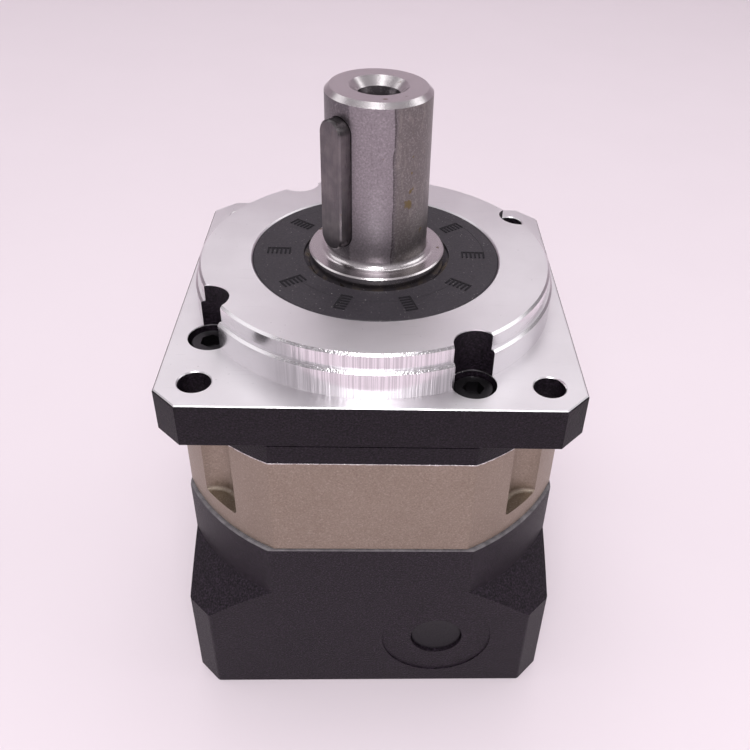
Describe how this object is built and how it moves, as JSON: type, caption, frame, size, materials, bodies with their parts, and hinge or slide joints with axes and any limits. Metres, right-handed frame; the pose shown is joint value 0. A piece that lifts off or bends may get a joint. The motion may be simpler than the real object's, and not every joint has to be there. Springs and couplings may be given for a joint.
{
  "type": "planetary gearbox",
  "caption": "Planetary gearbox with a square output flange, keyed output shaft, round ring gear body and a square motor adapter with a clamp hub.",
  "frame": {"origin": "centre of the output flange's mounting face, on the gearbox's axis", "axes": "+Z along the output shaft, away from the body; the access plug is on the -Y side"},
  "size_m": [0.086, 0.086, 0.138],
  "materials": {
    "housing_aluminium": "satin",
    "coated_aluminium": "matte",
    "nickel_finish": "satin",
    "ground_steel": "satin",
    "key_steel": "satin",
    "gear_steel": "satin",
    "bearing_steel": "polished",
    "black_oxide": "satin",
    "spring_steel": "satin",
    "seal_rubber": "matte",
    "o_ring_rubber": "satin",
    "cage_polymer": "matte",
    "plug_plastic": "matte"
  },
  "bodies": {
    "housing": {"output_housing": "housing_aluminium", "ring_gear": "nickel_finish", "motor_adapter": "coated_aluminium", "housing_screws": "black_oxide", "dowel_pins": "bearing_steel", "housing_o_ring": "o_ring_rubber", "adapter_o_ring": "o_ring_rubber", "output_seal": "seal_rubber", "seal_garter_spring": "spring_steel", "bearing_circlip": "black_oxide", "front_bearing_outer_race": "bearing_steel", "rear_bearing_outer_race": "bearing_steel", "input_bearing_outer_race": "bearing_steel", "input_circlip": "black_oxide", "input_seal": "seal_rubber", "input_seal_spring": "spring_steel"},
    "plug": {"access_plug": "plug_plastic"},
    "output": {"output_shaft": "ground_steel", "shaft_key": "key_steel", "shaft_circlip": "black_oxide", "front_bearing_inner_race": "bearing_steel", "rear_bearing_inner_race": "bearing_steel", "planet_pin_1": "bearing_steel", "planet_pin_2": "bearing_steel", "planet_pin_3": "bearing_steel", "thrust_washers": "gear_steel"},
    "planet_1": {"planet_gear_1": "gear_steel"},
    "planet_2": {"planet_gear_2": "gear_steel"},
    "planet_3": {"planet_gear_3": "gear_steel"},
    "needles_1": {"needle_rollers_1": "bearing_steel"},
    "needles_2": {"needle_rollers_2": "bearing_steel"},
    "needles_3": {"needle_rollers_3": "bearing_steel"},
    "front_balls": {"front_bearing_balls": "bearing_steel", "front_bearing_cage": "cage_polymer"},
    "rear_balls": {"rear_bearing_balls": "bearing_steel", "rear_bearing_cage": "cage_polymer"},
    "input_balls": {"input_bearing_balls": "bearing_steel", "input_bearing_cage": "cage_polymer"},
    "input": {"input_sun_shaft": "gear_steel", "input_bearing_inner_race": "bearing_steel", "clamp_collar": "gear_steel"},
    "clamp_screw": {"clamp_screw": "black_oxide"}
  },
  "joints": [
    {"name": "output_spin", "type": "hinge", "parent": "housing", "child": "output", "pos_m": [0, 0, 0], "axis": [0, 0, 1], "continuous": true},
    {"name": "planet_1_spin", "type": "hinge", "parent": "output", "child": "planet_1", "pos_m": [0, 0.0225, -0.03025], "axis": [0, 0, 1], "continuous": true},
    {"name": "planet_2_spin", "type": "hinge", "parent": "output", "child": "planet_2", "pos_m": [-0.01949, -0.01125, -0.03025], "axis": [0, 0, 1], "continuous": true},
    {"name": "planet_3_spin", "type": "hinge", "parent": "output", "child": "planet_3", "pos_m": [0.01949, -0.01125, -0.03025], "axis": [0, 0, 1], "continuous": true},
    {"name": "needles_1_orbit", "type": "hinge", "parent": "output", "child": "needles_1", "pos_m": [0, 0.0225, -0.03025], "axis": [0, 0, 1], "continuous": true},
    {"name": "needles_2_orbit", "type": "hinge", "parent": "output", "child": "needles_2", "pos_m": [-0.01949, -0.01125, -0.03025], "axis": [0, 0, 1], "continuous": true},
    {"name": "needles_3_orbit", "type": "hinge", "parent": "output", "child": "needles_3", "pos_m": [0.01949, -0.01125, -0.03025], "axis": [0, 0, 1], "continuous": true},
    {"name": "front_balls_orbit", "type": "hinge", "parent": "housing", "child": "front_balls", "pos_m": [0, 0, 0], "axis": [0, 0, 1], "continuous": true},
    {"name": "rear_balls_orbit", "type": "hinge", "parent": "housing", "child": "rear_balls", "pos_m": [0, 0, 0], "axis": [0, 0, 1], "continuous": true},
    {"name": "input_balls_orbit", "type": "hinge", "parent": "housing", "child": "input_balls", "pos_m": [0, 0, 0], "axis": [0, 0, 1], "continuous": true},
    {"name": "input_spin", "type": "hinge", "parent": "housing", "child": "input", "pos_m": [0, 0, 0], "axis": [0, 0, 1], "continuous": true},
    {"name": "clamp_screw_turn", "type": "hinge", "parent": "input", "child": "clamp_screw", "pos_m": [0.016, -0.008, -0.0722], "axis": [0, -1, 0], "range_deg": [0, 360]},
    {"name": "plug_pull", "type": "slide", "parent": "housing", "child": "plug", "axis": [0, -1, 0], "range_m": [0, 0.02]}
  ],
  "couplings": [
    {"joint": "planet_1_spin", "follows": "output_spin", "ratio": -3},
    {"joint": "planet_2_spin", "follows": "output_spin", "ratio": -3},
    {"joint": "planet_3_spin", "follows": "output_spin", "ratio": -3},
    {"joint": "needles_1_orbit", "follows": "output_spin", "ratio": -1.7783},
    {"joint": "needles_2_orbit", "follows": "output_spin", "ratio": -1.7783},
    {"joint": "needles_3_orbit", "follows": "output_spin", "ratio": -1.7783},
    {"joint": "front_balls_orbit", "follows": "output_spin", "ratio": 0.41647},
    {"joint": "rear_balls_orbit", "follows": "output_spin", "ratio": 0.46196},
    {"joint": "input_balls_orbit", "follows": "output_spin", "ratio": 1.8056},
    {"joint": "input_spin", "follows": "output_spin", "ratio": 4}
  ]
}
